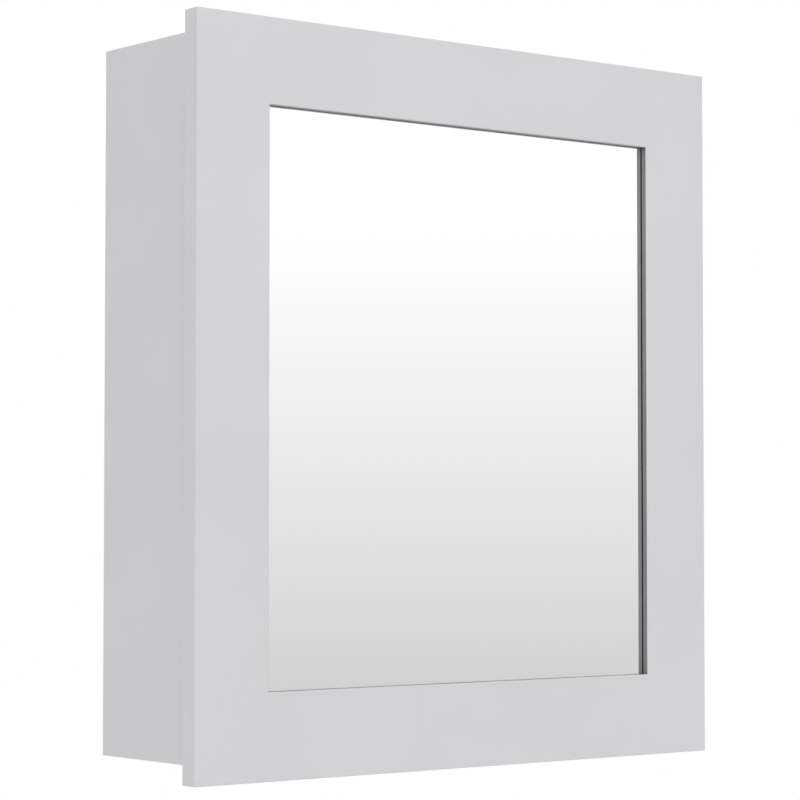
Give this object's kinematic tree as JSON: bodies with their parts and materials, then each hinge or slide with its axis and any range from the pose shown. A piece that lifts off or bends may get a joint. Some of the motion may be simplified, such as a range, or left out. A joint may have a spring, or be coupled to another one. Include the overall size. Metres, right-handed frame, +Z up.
{
  "type": "medicine cabinet",
  "caption": "Shallow white wall-hung medicine cabinet: a wide flat frame round a recessed mirror is its overhanging door, hinged at the right, with shelves inside.",
  "frame": {"origin": "middle of the back face, in the plane of the wall, half way up the cabinet", "axes": "+Z up, +Y into the wall, +X to the right seen from the front; the door faces -Y"},
  "size_m": [0.508, 0.1415, 0.5588],
  "materials": {
    "white_paint": "satin white lacquer on MDF",
    "white_hardboard": "white-faced hardboard, satin",
    "brown_hardboard": "plain hardboard, slightly fibrous",
    "beech": "bare beech",
    "nickel_steel": "satin nickel plate",
    "zinc_steel": "bright zinc plate",
    "zinc_casting": "bare zinc casting",
    "silvered_glass": "plain silvered mirror glass",
    "black_foam_tape": "dull foam tape",
    "foam_sheet": "fine closed-cell foam",
    "clear_plastic": "milky moulded plastic",
    "white_plastic": "moulded plastic, lightly grained",
    "dark_ferrite": "sintered magnet, dull",
    "soft_bumper": "soft translucent polyurethane"
  },
  "bodies": {
    "cabinet": {"left_side": "white_paint", "right_side": "white_paint", "top_panel": "white_paint", "bottom_panel": "white_paint", "back_panel": "white_hardboard", "hanging_rail": "white_paint", "lower_shelf": "white_paint", "upper_shelf": "white_paint", "shelf_pins": "nickel_steel", "carcass_dowels": "beech", "cam_bolts": "zinc_steel", "cam_discs": "zinc_casting", "back_panel_nails": "zinc_steel", "upper_hinge_cabinet_leaf": "nickel_steel", "lower_hinge_cabinet_leaf": "nickel_steel", "upper_hinge_pin": "nickel_steel", "lower_hinge_pin": "nickel_steel", "cabinet_leaf_screws": "nickel_steel", "catch_housing": "white_plastic", "catch_magnet": "dark_ferrite", "catch_pole_plates": "zinc_steel", "catch_screws": "zinc_steel"},
    "door": {"left_stile": "white_paint", "right_stile": "white_paint", "top_rail": "white_paint", "bottom_rail": "white_paint", "door_frame_dowels": "beech", "mirror": "silvered_glass", "glazing_tape": "black_foam_tape", "cushion_sheet": "foam_sheet", "backing_board": "brown_hardboard", "retaining_clips": "clear_plastic", "clip_screws": "zinc_steel", "upper_hinge_door_leaf": "nickel_steel", "lower_hinge_door_leaf": "nickel_steel", "door_leaf_screws": "nickel_steel", "strike_plate": "nickel_steel", "strike_screw": "nickel_steel", "door_bumpers": "soft_bumper"}
  },
  "joints": [
    {"name": "door_hinge", "type": "hinge", "parent": "cabinet", "child": "door", "pos_m": [0.2431, -0.1237, 0], "axis": [0, 0, 1], "range_deg": [0, 105]}
  ]
}
